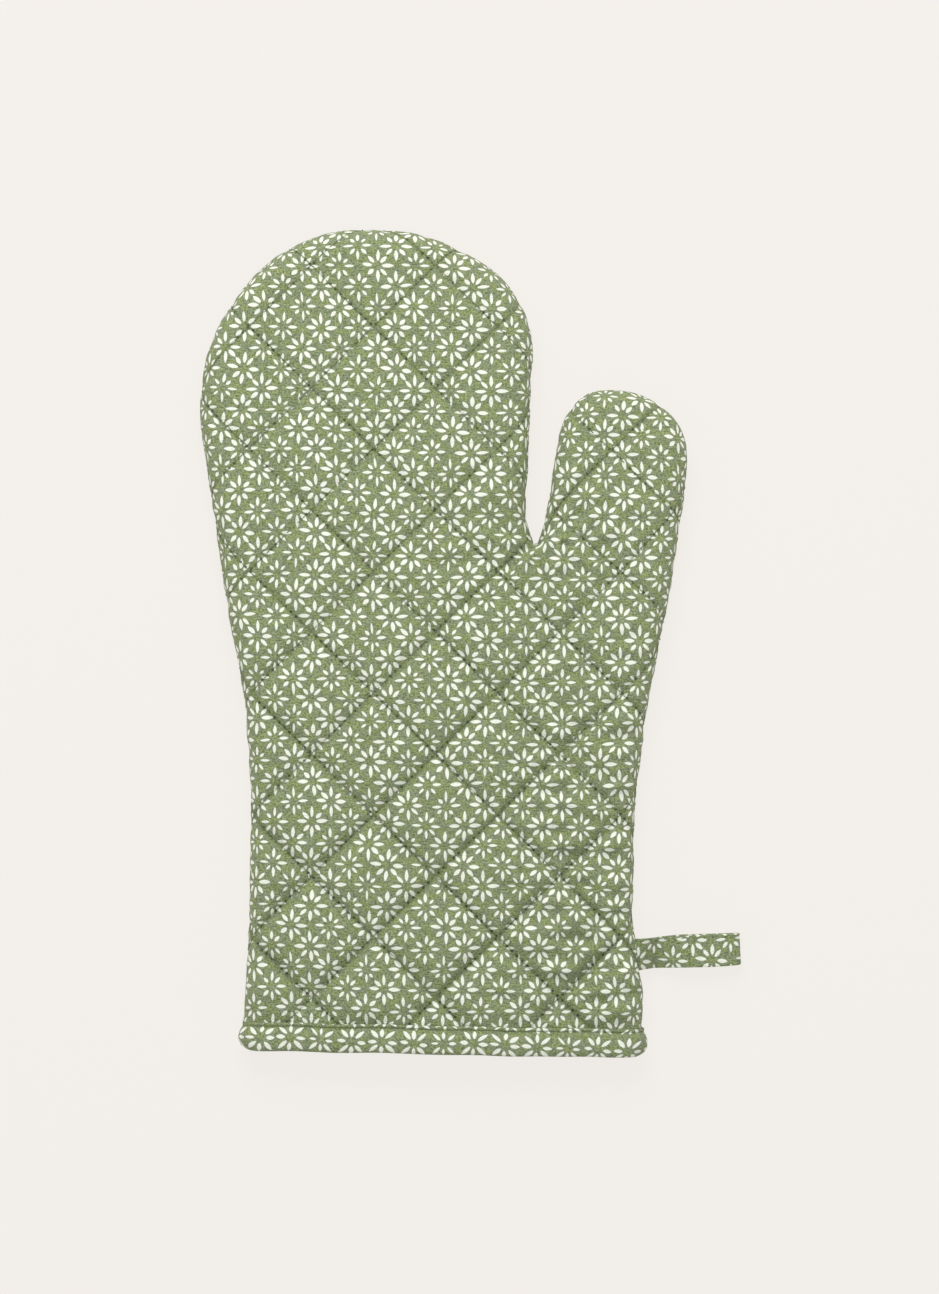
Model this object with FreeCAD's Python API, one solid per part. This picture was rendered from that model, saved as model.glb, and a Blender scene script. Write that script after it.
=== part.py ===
import FreeCAD, Part

import math
import os

# A quilted oven mitt lying flat, palm side up, with a bound cuff and a hanging loop.
#
# Every layer of the mitt is the space between two nested pillow shapes. A pillow is the mitt's outline,
# moved inwards by some depth, with a rim rounded over to the side seam. From the outside in the layers are
# the printed cotton cover, the wadding and the lining, and inside them is the pocket for the hand. The side
# seam plane parts each layer into a palm half and a back half. Two fold lines part it again into a hand,
# a fingers and a thumb section, because cloth bends there and a solid can't.
#
# Units are millimetres. +X points to the thumb side, +Y to the fingertips and +Z up out of the palm face.
# The origin is under the middle of the whole mitt, on the table.

Vec = FreeCAD.Vector

# Layer thicknesses, and the size of the flat mitt.
COVER = 0.6
WADDING = 3.9
LINING = 0.5
PANEL = COVER + WADDING + LINING
POCKET_HEIGHT = 8.0
BINDING = 1.0
BODY_HEIGHT = 2 * PANEL + POCKET_HEIGHT
BODY_BOTTOM = BINDING
SEAM_Z = BODY_BOTTOM + BODY_HEIGHT / 2
BODY_TOP = BODY_BOTTOM + BODY_HEIGHT
SEAM_WALL = 1.0
RIM_RADIUS = (BODY_HEIGHT - SEAM_WALL) / 2

# The outline, clockwise from the cuff's little-finger end: corner x, y and the radius that rounds it.
CUFF_END_Y = -170.0
OUTLINE = [
    (-86.6, CUFF_END_Y, 0),
    (-83.0, -97, 90),
    (-82.6, -52, 150),
    (-84.8, -22, 160),
    (-91.8, 15, 250),
    (-105.0, 106.5, 68),
    (-68.8, 155.0, 57),
    (-18.4, 155.2, 74),
    (13.0, 137.6, 41),
    (23.6, 117.2, 39),
    (20.2, 46, 10),
    (24.7, 32.5, 2),
    (27.7, 46, 12),
    (33.9, 84.1, 25),
    (43.6, 94.8, 15.8),
    (62.7, 94.8, 31),
    (80.9, 81.9, 21),
    (80.9, 60.3, 80),
    (72.9, 10, 120),
    (65.6, -26, 150),
    (61.4, -62, 150),
    (60.4, -105, 60),
    (64.2, -127, 50),
    (64.6, CUFF_END_Y, 0),
]

# The cuff: its middle, the slope of its edge across the mitt, and the depth of the binding.
CUFF_MIDDLE = (-11.0, -153.7)
CUFF_SLOPE_DEG = -1.1
BINDING_DEPTH = 10.8
BINDING_STITCH_INSET = 1.6

# The fold lines. The fingers fold about a line across the hand, the thumb about one that slopes off the crotch.
FOLD_GAP = 0.3
FINGER_FOLD_Y = 67.0
CROTCH = (24.7, 38.0)
CLEFT_X = 25.3
THUMB_FOLD_SLOPE_DEG = -35.0
THUMB_FOLD_RISE = 13.0

# Quilting: two sets of parallel lines that cross squarely, and the thread that shows along them.
QUILT_CROSSING = (-36.5, 118.2)
QUILT_HALF_WIDTH = 23.2
QUILT_HALF_HEIGHT = 22.8
QUILT_FALLING = range(-7, 2)
QUILT_RISING = range(-1, 9)
THREAD_WIDTH = 0.7
THREAD_PROUD = 0.25

# The lockstitch that closes the side seam, inside the wadding.
SEAM_THREAD_DEPTH = 1.6
SEAM_THREAD_SIZE = 0.7

# The hanging loop: a strap folded back on itself, its tails caught in the side seam.
LOOP_WIDTH = 12.4
LOOP_Y = -116.8
LOOP_SLOPE_DEG = 2.6
STRAP = 1.4
LOOP_PIVOT_X = 65.0
LOOP_END_X = 101.6
LOOP_ROOT_RADIUS = 1.5
LOOP_FLAT_X = 82.0
LOOP_GAP = 5.3
LOOP_BOTTOM_Z = 0.1
LOOP_END_RADIUS = 3.4
LOOP_BEND_RADIUS = 28.0
TAIL_START_X = 55.0
TAIL_END_X = 62.9
LOOP_CROTCH = 6.0
LOOP_CROTCH_DROP = 0.9
LOOP_STITCH_START_X = 69.0
LOOP_STITCH_INSET = 1.5
LOOP_STITCH_WIDTH = 0.6
LOOP_STITCH_PROUD = 0.2

FAR = 400.0
BODIES = ("hand", "fingers", "thumb")


# ---- outlines and solids -------------------------------------------------------------------------------


def corner_arc(before, corner, after):
    """The tangent arc that rounds a corner: centre, radius, first and last angle, and its turn."""
    here = Vec(corner[0], corner[1], 0)
    to_before = (Vec(before[0], before[1], 0) - here).normalize()
    to_after = (Vec(after[0], after[1], 0) - here).normalize()
    half = math.acos(max(-1.0, min(1.0, to_before.dot(to_after)))) / 2
    bisector = (to_before + to_after).normalize()
    centre = here + bisector * (corner[2] / math.sin(half))
    run = corner[2] / math.tan(half)
    start = here + to_before * run - centre
    end = here + to_after * run - centre
    first = math.atan2(start.y, start.x)
    last = math.atan2(end.y, end.x)
    turn = (last - first + math.pi) % (2 * math.pi) - math.pi
    return centre, corner[2], first, turn


def rounded_wire(corners, inset=0.0):
    """A closed clockwise wire of lines and tangent arcs, moved inwards by inset."""
    pieces = []
    count = len(corners)
    for i, corner in enumerate(corners):
        before = corners[i - 1]
        after = corners[(i + 1) % count]
        if corner[2] == 0:
            pieces.append((Vec(corner[0] + math.copysign(inset, -corner[0]), corner[1], 0),))
            continue
        centre, radius, first, turn = corner_arc(before, corner, after)
        radius += inset if turn > 0 else -inset
        points = [
            centre + Vec(math.cos(first + turn * t), math.sin(first + turn * t), 0) * radius
            for t in (0, 0.5, 1)
        ]
        pieces.append(tuple(points))
    edges = []
    for i, piece in enumerate(pieces):
        if len(piece) == 3:
            edges.append(Part.Arc(*piece).toShape())
        start = piece[-1]
        end = pieces[(i + 1) % count][0]
        if start.distanceToPoint(end) > 1e-6:
            edges.append(Part.LineSegment(start, end).toShape())
    return Part.Wire(edges)


def pillow(depth):
    """The mitt's shape at a depth under its outer face, open-ended past the cuff."""
    bottom = BODY_BOTTOM + depth
    height = BODY_HEIGHT - 2 * depth
    wire = rounded_wire(OUTLINE, depth)
    wire.translate(Vec(0, 0, bottom))
    block = Part.Face(wire).extrude(Vec(0, 0, height))
    rims = [
        edge
        for edge in block.Edges
        if abs(edge.BoundBox.ZLength) < 1e-6 and edge.BoundBox.YMax > CUFF_END_Y + 1e-3
    ]
    return block.makeFillet(RIM_RADIUS - depth, rims)


def slab_above_cuff(low, high):
    """The space between two lines parallel to the cuff's edge, low and high mm above it."""
    block = Part.makeBox(2 * FAR, high - low, 2 * FAR, Vec(-FAR, low, -FAR))
    block.rotate(Vec(0, 0, 0), Vec(0, 0, 1), CUFF_SLOPE_DEG)
    block.translate(Vec(CUFF_MIDDLE[0], CUFF_MIDDLE[1], 0))
    return block


def column(corners):
    """A tall prism over a flat polygon."""
    points = [Vec(x, y, -FAR) for x, y in corners]
    return Part.Face(Part.makePolygon(points + points[:1])).extrude(Vec(0, 0, 2 * FAR))


def thumb_fold_line(rise):
    """Two far points of the line that runs past the crotch, rise mm beyond it, at the thumb fold's slope."""
    slope = math.radians(THUMB_FOLD_SLOPE_DEG)
    along = (math.cos(slope), math.sin(slope))
    normal = (-along[1], along[0])
    x = CROTCH[0] + normal[0] * rise
    y = CROTCH[1] + normal[1] * rise
    at_cleft = y + (CLEFT_X - x) * along[1] / along[0]
    return (CLEFT_X, at_cleft), (x + along[0] * FAR, y + along[1] * FAR)


def body_spaces():
    """The space that each body's share of a layer fills."""
    low = thumb_fold_line(THUMB_FOLD_RISE - FOLD_GAP / 2)
    high = thumb_fold_line(THUMB_FOLD_RISE + FOLD_GAP / 2)
    thumb = column([high[0], (CLEFT_X, FAR), (FAR, FAR), high[1]])
    thumb_side = column([low[0], (CLEFT_X, FAR), (FAR, FAR), low[1]])
    top = FINGER_FOLD_Y + FOLD_GAP / 2
    fingers = column([(-FAR, top), (-FAR, FAR), (CLEFT_X, FAR), (CLEFT_X, top)])
    below = FINGER_FOLD_Y - FOLD_GAP / 2
    hand = column([(-FAR, -FAR), (-FAR, below), (CLEFT_X, below), (CLEFT_X, FAR), (FAR, FAR), (FAR, -FAR)])
    return {"hand": hand.cut(thumb_side), "fingers": fingers, "thumb": thumb}


# ---- output --------------------------------------------------------------------------------------------


def save(name, shape):
    """Writes one node, and stops if it isn't one or more sound closed solids."""
    solids = shape.Solids
    if not solids or not all(s.isValid() and s.Volume > 0 for s in solids):
        raise SystemExit(f"{name} is not sound")
    whole = solids[0] if len(solids) == 1 else Part.makeCompound(solids)
    whole.exportStep(f"parts/{name}.step")
    print(f"{name}: {len(solids)} solid(s), {sum(s.Volume for s in solids):.1f} mm3")


def save_sections(name, shape, spaces, half=None):
    """Writes a layer's hand, fingers and thumb sections."""
    layer = shape.common(half) if half else shape
    for body in BODIES:
        save(f"{name}_{body}", layer.common(spaces[body]))


# ---- the layers ----------------------------------------------------------------------------------------


def halves():
    """The space above the side seam, for the palm, and below it, for the back."""
    palm = Part.makeBox(2 * FAR, 2 * FAR, FAR, Vec(-FAR, -FAR, SEAM_Z))
    back = Part.makeBox(2 * FAR, 2 * FAR, FAR, Vec(-FAR, -FAR, SEAM_Z - FAR))
    return {"palm": palm, "back": back}


def quilting_walls():
    """Thin upright walls along every quilting line."""
    walls = []
    step = 2 * QUILT_HALF_HEIGHT
    slope = math.degrees(math.atan2(QUILT_HALF_HEIGHT, QUILT_HALF_WIDTH))
    for lines, angle in ((QUILT_FALLING, -slope), (QUILT_RISING, slope)):
        for k in lines:
            shift = k * step if angle < 0 else -k * step
            wall = Part.makeBox(2 * FAR, THREAD_WIDTH, 2 * FAR, Vec(-FAR, -THREAD_WIDTH / 2, -FAR))
            wall.rotate(Vec(0, 0, 0), Vec(0, 0, 1), angle)
            wall.translate(Vec(QUILT_CROSSING[0], QUILT_CROSSING[1] + shift, 0))
            walls.append(wall)
    return walls[0].multiFuse(walls[1:])


def seam_thread():
    """The lockstitch line that joins the two halves, just inside the rim."""
    ring = pillow(SEAM_THREAD_DEPTH).cut(pillow(SEAM_THREAD_DEPTH + SEAM_THREAD_SIZE))
    band = Part.makeBox(
        2 * FAR, 2 * FAR, SEAM_THREAD_SIZE, Vec(-FAR, -FAR, SEAM_Z - SEAM_THREAD_SIZE / 2)
    )
    return ring.common(band).common(slab_above_cuff(BINDING, FAR))


def loop_tails():
    """The strap's two ends, one on the other, caught in the side seam."""
    return Part.makeBox(
        TAIL_END_X - TAIL_START_X,
        LOOP_WIDTH,
        2 * STRAP,
        Vec(TAIL_START_X, LOOP_Y - LOOP_WIDTH / 2, SEAM_Z - STRAP),
    )


# ---- the hanging loop ----------------------------------------------------------------------------------


def across(face, start, width):
    """A side profile swept across the strap, from start to start + width, and turned to the loop's slope."""
    solid = face.extrude(Vec(0, 0, width))
    solid.rotate(Vec(0, 0, 0), Vec(1, 0, 0), 90)
    solid.translate(Vec(0, LOOP_Y + LOOP_WIDTH / 2 - start, 0))
    solid.rotate(Vec(LOOP_PIVOT_X, LOOP_Y, 0), Vec(0, 0, 1), LOOP_SLOPE_DEG)
    return solid


def loop_envelope(grow, start, width):
    """The loop without its opening: a flat teardrop with a round root at the pivot, grown by grow."""
    low = LOOP_BOTTOM_Z - grow
    high = LOOP_BOTTOM_Z + 2 * STRAP + LOOP_GAP + grow
    root = LOOP_ROOT_RADIUS + grow
    teardrop = [
        (LOOP_PIVOT_X, SEAM_Z + root, 0),
        (LOOP_FLAT_X, high, LOOP_BEND_RADIUS),
        (LOOP_END_X + grow, high, LOOP_END_RADIUS + grow),
        (LOOP_END_X + grow, low, LOOP_END_RADIUS + grow),
        (LOOP_FLAT_X, low, LOOP_BEND_RADIUS),
        (LOOP_PIVOT_X, SEAM_Z - root, 0),
    ]
    root_end = Part.Wire(Part.makeCircle(root, Vec(LOOP_PIVOT_X, SEAM_Z, 0)))
    body = across(Part.Face(rounded_wire(teardrop)), start, width)
    return body.fuse(across(Part.Face(root_end), start, width)).removeSplitter()


def hanging_loop():
    """The strap, with the opening between its two layers."""
    top = LOOP_BOTTOM_Z + STRAP + LOOP_GAP
    bottom = LOOP_BOTTOM_Z + STRAP
    opening = [
        (LOOP_PIVOT_X + LOOP_CROTCH, SEAM_Z - LOOP_CROTCH_DROP, 0.3),
        (LOOP_FLAT_X, top, LOOP_BEND_RADIUS),
        (LOOP_END_X - STRAP, top, LOOP_END_RADIUS - STRAP),
        (LOOP_END_X - STRAP, bottom, LOOP_END_RADIUS - STRAP),
        (LOOP_FLAT_X, bottom, LOOP_BEND_RADIUS),
    ]
    hole = across(Part.Face(rounded_wire(opening)), -1, LOOP_WIDTH + 2)
    return loop_envelope(0, 0, LOOP_WIDTH).cut(hole)


def loop_stitching():
    """The row of stitching that closes the strap's open edge, clear of its root and of the table."""
    row = (LOOP_STITCH_INSET, LOOP_STITCH_WIDTH)
    rim = loop_envelope(LOOP_STITCH_PROUD, *row).cut(loop_envelope(0, *row))
    beyond_root = Part.makeBox(FAR, FAR, FAR, Vec(LOOP_STITCH_START_X, LOOP_Y - FAR / 2, LOOP_BOTTOM_Z))
    return rim.common(beyond_root)


# ---- the cuff ------------------------------------------------------------------------------------------


def cuff_binding(outer, skin, pocket, inner):
    """One strip folded over the mouth's raw edges: a band outside, a band inside and the fold between."""
    band = slab_above_cuff(0, BINDING_DEPTH)
    outside = outer.cut(skin).common(band)
    inside = pocket.cut(inner).common(band)
    fold = outer.cut(inner).common(slab_above_cuff(0, BINDING))
    return outside.fuse(inside).fuse(fold).removeSplitter()


def main():
    os.makedirs("parts", exist_ok=True)
    spaces = body_spaces()
    half = halves()
    inside_cuff = slab_above_cuff(BINDING, FAR)
    above_binding = slab_above_cuff(BINDING_DEPTH, FAR)

    skin = pillow(0)
    under_cover = pillow(COVER)
    under_wadding = pillow(COVER + WADDING)
    pocket = pillow(PANEL)
    thread = seam_thread()
    tails = loop_tails()

    cover = skin.cut(under_cover).common(inside_cuff).cut(tails)
    wadding = under_cover.cut(under_wadding).common(inside_cuff).cut(thread).cut(tails)
    lining = under_wadding.cut(pocket).common(inside_cuff).cut(tails)
    walls = quilting_walls().common(above_binding)
    top_thread = pillow(-THREAD_PROUD).cut(skin).common(walls)
    bobbin_thread = pocket.cut(pillow(PANEL + THREAD_PROUD)).common(walls)
    clear_of_seam = {
        "palm": Part.makeBox(2 * FAR, 2 * FAR, FAR, Vec(-FAR, -FAR, SEAM_Z + SEAM_WALL)),
        "back": Part.makeBox(2 * FAR, 2 * FAR, FAR, Vec(-FAR, -FAR, SEAM_Z - SEAM_WALL - FAR)),
    }
    for side in ("palm", "back"):
        save_sections(f"{side}_cover", cover, spaces, half[side])
        save_sections(f"{side}_wadding", wadding, spaces, half[side])
        save_sections(f"{side}_lining", lining, spaces, half[side])
        quilting = Part.makeCompound(
            top_thread.common(clear_of_seam[side]).Solids
            + bobbin_thread.common(clear_of_seam[side]).Solids
        )
        save_sections(f"{side}_quilting_thread", quilting, spaces)
    save_sections("side_seam_thread", thread, spaces)

    outer = pillow(-BINDING)
    save("cuff_binding", cuff_binding(outer, skin, pocket, pillow(PANEL + BINDING)))
    stitch_band = slab_above_cuff(
        BINDING_DEPTH - BINDING_STITCH_INSET, BINDING_DEPTH - BINDING_STITCH_INSET + THREAD_WIDTH
    )
    stitching = pillow(-BINDING - THREAD_PROUD).common(stitch_band).cut(outer.common(stitch_band))
    save("binding_stitching", stitching.common(clear_of_seam["palm"]))

    save("loop_tails", tails.cut(thread))
    save("hanging_loop", hanging_loop())
    save("loop_stitching", loop_stitching())


main()
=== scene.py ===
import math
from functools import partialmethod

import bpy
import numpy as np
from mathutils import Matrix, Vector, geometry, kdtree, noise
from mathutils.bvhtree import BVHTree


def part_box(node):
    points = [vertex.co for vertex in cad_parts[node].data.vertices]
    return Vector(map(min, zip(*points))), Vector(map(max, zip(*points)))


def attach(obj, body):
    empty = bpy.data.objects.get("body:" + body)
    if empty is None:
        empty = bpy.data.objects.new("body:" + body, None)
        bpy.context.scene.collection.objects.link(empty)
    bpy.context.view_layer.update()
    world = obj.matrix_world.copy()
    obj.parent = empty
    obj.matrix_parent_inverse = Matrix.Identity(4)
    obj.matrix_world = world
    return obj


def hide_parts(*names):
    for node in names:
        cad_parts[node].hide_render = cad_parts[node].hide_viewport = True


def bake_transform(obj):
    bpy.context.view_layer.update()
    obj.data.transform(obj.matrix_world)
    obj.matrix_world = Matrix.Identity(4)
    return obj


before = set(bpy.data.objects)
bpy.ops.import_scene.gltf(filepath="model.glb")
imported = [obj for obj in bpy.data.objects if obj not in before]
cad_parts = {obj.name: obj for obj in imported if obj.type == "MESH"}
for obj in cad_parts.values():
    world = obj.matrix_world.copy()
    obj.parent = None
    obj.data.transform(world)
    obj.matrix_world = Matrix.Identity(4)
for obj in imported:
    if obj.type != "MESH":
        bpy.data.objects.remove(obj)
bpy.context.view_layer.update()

# The quilted oven mitt, lying palm side up on a pale table.
#
# Each quilted face is a cap: a fine mesh over the mitt's outline, raised into a pillow with a rounded rim and
# pressed in along the quilting. Cloth simulation adds the puffs and wrinkles between the quilting lines.
# Cover, wadding and lining are slabs over such caps. A second map of each cap, the flat cloth before it was
# sewn, carries the print and the quilting lines, and places the single stitches. Lengths are in millimetres
# until a mesh is made.

MM = 0.001

# ---- sizes ----

# The outline's corners: x, y and the radius that rounds the corner. They are the CAD's, but for a sharper
# crotch between thumb and fingers.
CUFF_END_Y = -170.0
OUTLINE = [
    (-86.6, CUFF_END_Y, 0),
    (-83.0, -97, 90),
    (-82.6, -52, 150),
    (-84.8, -22, 160),
    (-91.8, 15, 250),
    (-105.0, 106.5, 68),
    (-68.8, 155.0, 57),
    (-18.4, 155.2, 74),
    (13.0, 137.6, 41),
    (23.6, 117.2, 39),
    (20.4, 47, 8),
    (24.1, 36.0, 0.8),
    (27.9, 46.5, 10),
    (33.9, 84.1, 25),
    (43.6, 94.8, 15.8),
    (62.7, 94.8, 31),
    (80.9, 81.9, 21),
    (80.9, 60.3, 80),
    (72.9, 10, 120),
    (65.6, -26, 150),
    (61.4, -62, 150),
    (60.4, -105, 60),
    (64.2, -127, 50),
    (64.6, CUFF_END_Y, 0),
]

COVER_BOX = [np.array(corner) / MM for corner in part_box("palm_cover_hand")]
SEAM_Z = float(COVER_BOX[0][2])
BODY_HALF = float(COVER_BOX[1][2]) - SEAM_Z
RIM = BODY_HALF - 0.5  # how far in from the seam the rounded rim reaches
POCKET_INSET = 5.0
POCKET_HALF = 4.0
CUFF_MIDDLE = np.array((-11.0, -153.7))
CUFF_SLOPE = math.radians(-1.1)
CUFF_ALONG = np.array((math.cos(CUFF_SLOPE), math.sin(CUFF_SLOPE)))
CUFF_UP = np.array((-math.sin(CUFF_SLOPE), math.cos(CUFF_SLOPE)))
BINDING_DEPTH = 10.8
# How far the palm side bows up at the mouth, half the bow's length, and how far in it dies out.
MOUTH_BOW = 1.5
MOUTH_BOW_REACH = 72.0
MOUTH_BOW_RISE = 110.0

# The diamond lattice: one crossing of its lines, and the half diagonals of a diamond.
QUILT_CROSSING = np.array((-36.5, 118.2))
QUILT_HALF_WIDTH = 23.2
QUILT_HALF_HEIGHT = 22.8
QUILT_SIDE = math.hypot(QUILT_HALF_WIDTH, QUILT_HALF_HEIGHT)
QUILT_DEPTH = 2.2
QUILT_SOFTNESS = 3.2
STITCH_PITCH = 2.65
COVER_SEEDS = {1: 20, -1: 40}

CROTCH = np.array((24.7, 38.0))
THUMB_SLOPE = math.radians(-35.0)
THUMB_NORMAL = np.array((-math.sin(THUMB_SLOPE), math.cos(THUMB_SLOPE)))

# The print's staggered lattice: the pitch of its columns and rows, and one flower's centre.
FLOWER_X = 7.14
FLOWER_Y = 7.7
FLOWER_START = (-37.2, -13.4)
PRINT_TILT = math.radians(-0.9)


def smooth(t):
    """0 below 0, 1 above 1, and a smooth step between."""
    t = np.clip(t, 0, 1)
    return t * t * (3 - 2 * t)


def unit(v):
    return v / np.linalg.norm(v)


def turned(x, y, angle):
    """x and y turned about the origin."""
    return x * math.cos(angle) - y * math.sin(angle), x * math.sin(angle) + y * math.cos(angle)


def noise_at(points, size, seed):
    """Perlin noise at each row of points, with features about size long."""
    shift = Vector((seed * 17.3, seed * 5.1, seed * 9.7))
    flat = np.column_stack([points, np.zeros(len(points))]) if points.shape[1] == 2 else points
    return np.array([noise.noise(Vector(p) / size + shift) for p in flat])


# ---- the outline ----


def outline_samples(step, inner_room):
    """Points along the outline and their inward normals. Hollow corners get more."""
    corners = [np.array(c[:2], float) for c in OUTLINE]
    points = []
    normals = []
    end = corners[0]
    for i in range(1, len(OUTLINE)):
        here = start = corners[i]
        radius = OUTLINE[i][2]
        if radius:
            back = unit(corners[i - 1] - here)
            ahead = unit(corners[i + 1] - here)
            half = math.acos(float(np.clip(back @ ahead, -1, 1))) / 2
            start = here + back * radius / math.tan(half)
        length = np.linalg.norm(start - end)
        run = (start - end) / length
        count = max(1, math.ceil(length / step))
        for k in range(count):
            points.append(end + run * length * k / count)
            normals.append(np.array((run[1], -run[0])))
        if not radius:
            break
        end = here + ahead * radius / math.tan(half)
        centre = here + unit(back + ahead) * radius / math.sin(half)
        first = math.atan2(*(start - centre)[::-1])
        last = math.atan2(*(end - centre)[::-1])
        turn = (last - first + math.pi) % (2 * math.pi) - math.pi
        reach = radius if turn < 0 else radius + inner_room
        count = max(2, math.ceil(abs(turn) * reach / step))
        for k in range(count):
            angle = first + turn * k / count
            ray = np.array((math.cos(angle), math.sin(angle)))
            points.append(centre + ray * radius)
            normals.append(-ray if turn < 0 else ray)
    return np.array(points), np.array(normals)


FINE_POINTS, FINE_NORMALS = outline_samples(0.25, 0)
FINE_TREE = kdtree.KDTree(len(FINE_POINTS))
for number, point in enumerate(FINE_POINTS):
    FINE_TREE.insert((point[0], point[1], 0), number)
FINE_TREE.balance()


def rim_place(plan):
    """Each plan point's depth inside the outline, negative well outside it, and the outline's nearest point
    and inward normal."""
    nearest = [FINE_TREE.find((p[0], p[1], 0))[1] for p in plan]
    foot = FINE_POINTS[nearest]
    inward = FINE_NORMALS[nearest]
    depth = np.einsum("ij,ij->i", plan - foot, inward)
    away = np.linalg.norm(plan - foot, axis=1)
    return np.where(away < 2, np.maximum(depth, 0), np.copysign(away, depth)), foot, inward


def cuff_rise(plan):
    """How far each plan point is above the cuff's edge."""
    return (plan - CUFF_MIDDLE) @ CUFF_UP


# ---- caps ----


GRID_REACH = 260.0  # half the width of the grid that the outline is cut from
MOUTH_MARGIN = 0.6  # how near inner points come to the mouth, in mesh steps
ROW_MARGIN = 0.45  # how near grid points come to the innermost row, in mesh steps


class Cap:
    """A mesh over the mitt's plan, from the outline inwards, with hem rows that turn in at the side seam."""

    def __init__(self, step, depths, mouth_rise, hem):
        plan, border = self.flat_points(step, depths, mouth_rise)
        edges = [(i, (i + 1) % border) for i in range(border)]
        found = geometry.delaunay_2d_cdt([Vector(p) for p in plan], edges, [], 1, 1e-5)
        self.plan = np.array([tuple(v) for v in found[0]])
        faces = [list(f) for f in found[2]]
        self.depth, self.foot, self.inward = rim_place(self.plan)
        self.level = np.zeros(len(self.plan), int)
        faces += self.add_hem(faces, hem, mouth_rise)
        self.faces = faces
        self.rise = cuff_rise(self.plan)
        centres = np.array([self.plan[f].mean(axis=0) for f in faces])
        self.thumb_faces = ((centres - CROTCH) @ THUMB_NORMAL > 0) & (centres[:, 0] > CROTCH[0] - 1)

    @staticmethod
    def flat_points(step, depths, mouth_rise):
        """Plan points, the border loop first, and the number of border points."""
        points, normals = outline_samples(step, depths[-1])
        rows = []
        left = []
        right = []
        for depth in depths:
            fine = FINE_POINTS + FINE_NORMALS * depth
            inside = np.nonzero(cuff_rise(fine) > mouth_rise)[0]
            left.append(fine[inside[0]])
            right.append(fine[inside[-1]])
            row = points + normals * depth
            rows.append(row[cuff_rise(row) > mouth_rise + MOUTH_MARGIN * step])
        count = max(2, round(float(np.linalg.norm(right[-1] - left[-1])) / step))
        mouth = [left[-1] + (right[-1] - left[-1]) * k / count for k in range(1, count)]
        border = [left[0], *rows[0], *right, *mouth[::-1], *left[:0:-1]]
        inner = [p for row in rows[1:] for p in row]
        reach = math.ceil(GRID_REACH / step)
        grid = np.array([(i, j) for i in range(-reach, reach) for j in range(-reach, reach)]) * step
        across = (grid[:, 0] + grid[:, 1]) * QUILT_HALF_WIDTH / QUILT_SIDE
        upward = (grid[:, 0] - grid[:, 1]) * QUILT_HALF_HEIGHT / QUILT_SIDE
        knots = np.column_stack([across, upward]) + QUILT_CROSSING
        knots = knots[cuff_rise(knots) > mouth_rise + MOUTH_MARGIN * step]
        knots = knots[rim_place(knots)[0] > depths[-1] + ROW_MARGIN * step]
        return [*border, *inner, *knots], len(border)

    def add_hem(self, faces, hem, mouth_rise):
        """Rows that turn in from the rim towards the seam, as quads on the border's rim edges."""
        if not hem:
            return []
        edges = border_edges(faces)
        rise = cuff_rise(self.plan)
        rim = [e for e in edges if rise[e[0]] > mouth_rise + 0.1 or rise[e[1]] > mouth_rise + 0.1]
        members = sorted({v for e in rim for v in e})
        quads = []
        previous = {v: v for v in members}
        for level, inset in enumerate(hem, 1):
            start = len(self.plan)
            current = {v: start + k for k, v in enumerate(members)}
            self.plan = np.vstack([self.plan, self.foot[members] + self.inward[members] * inset])
            self.depth = np.append(self.depth, np.zeros(len(members)))
            self.foot = np.vstack([self.foot, self.foot[members]])
            self.inward = np.vstack([self.inward, self.inward[members]])
            self.level = np.append(self.level, np.full(len(members), level))
            quads += [[previous[b], previous[a], current[a], current[b]] for a, b in rim]
            previous = current
        return quads


def border_edges(faces):
    """The edges that only one face has, each in that face's direction."""
    seen = set()
    for face in faces:
        for a, b in zip(face, face[1:] + face[:1]):
            seen.add((a, b))
    return [e for e in seen if (e[1], e[0]) not in seen]


# ---- the quilted surface ----

HEM_INSET = (0.12, 0.45, 1.1)
HEM_HEIGHT = (1.25, 0.6, 0.2)
RIM_HEIGHT = 2.0
RIM_DEPTHS = (0, 0.35, 1.0, 2.0, 3.3, 5.0, 6.8, RIM)


def flat_cloth(cap):
    """Where each point of a cap lies on the flat cloth, in plan coordinates."""
    depth = np.minimum(cap.depth, RIM)
    angle = np.arccos(np.clip((RIM - depth) / RIM, -1, 1))
    beyond = RIM * (math.pi / 2 - angle) - (RIM - depth)
    hem_steps = np.hypot(np.diff((0, *HEM_INSET)), np.diff((RIM_HEIGHT, *HEM_HEIGHT)))
    hem_run = np.concatenate([[0], np.cumsum(hem_steps)])
    beyond = beyond + np.where(cap.level > 0, hem_run[np.minimum(cap.level, len(HEM_INSET))] - RIM_HEIGHT, 0)
    base = np.where((cap.level > 0)[:, None], cap.foot, cap.plan)
    return base - cap.inward * beyond[:, None]


THUMB_LATTICE_SHIFT = (4.0, 0.8)


def on_lattice(cloth):
    """Flat cloth coordinates in which the quilting is regular. The thumb's was sewn a little further left."""
    thumb = smooth((cloth[:, 0] - 20) / 16) * smooth((cloth[:, 1] - 15) / 50)
    return cloth + np.column_stack([shift * thumb for shift in THUMB_LATTICE_SHIFT])


def quilt_place(cloth):
    """Distances along the two quilting directions, in mm from the crossing."""
    halves = (QUILT_HALF_WIDTH, QUILT_HALF_HEIGHT)
    local = (on_lattice(cloth) - QUILT_CROSSING) / halves * QUILT_SIDE / 2
    return local[:, 0] + local[:, 1], local[:, 0] - local[:, 1]


def line_distance(place):
    """Distance from the nearest line of one quilting direction."""
    return np.abs(place - QUILT_SIDE * np.round(place / QUILT_SIDE))


def nearest_line(cloth):
    """Distance from the nearest quilting line of either direction."""
    a, b = quilt_place(cloth)
    return np.minimum(line_distance(a), line_distance(b))


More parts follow.
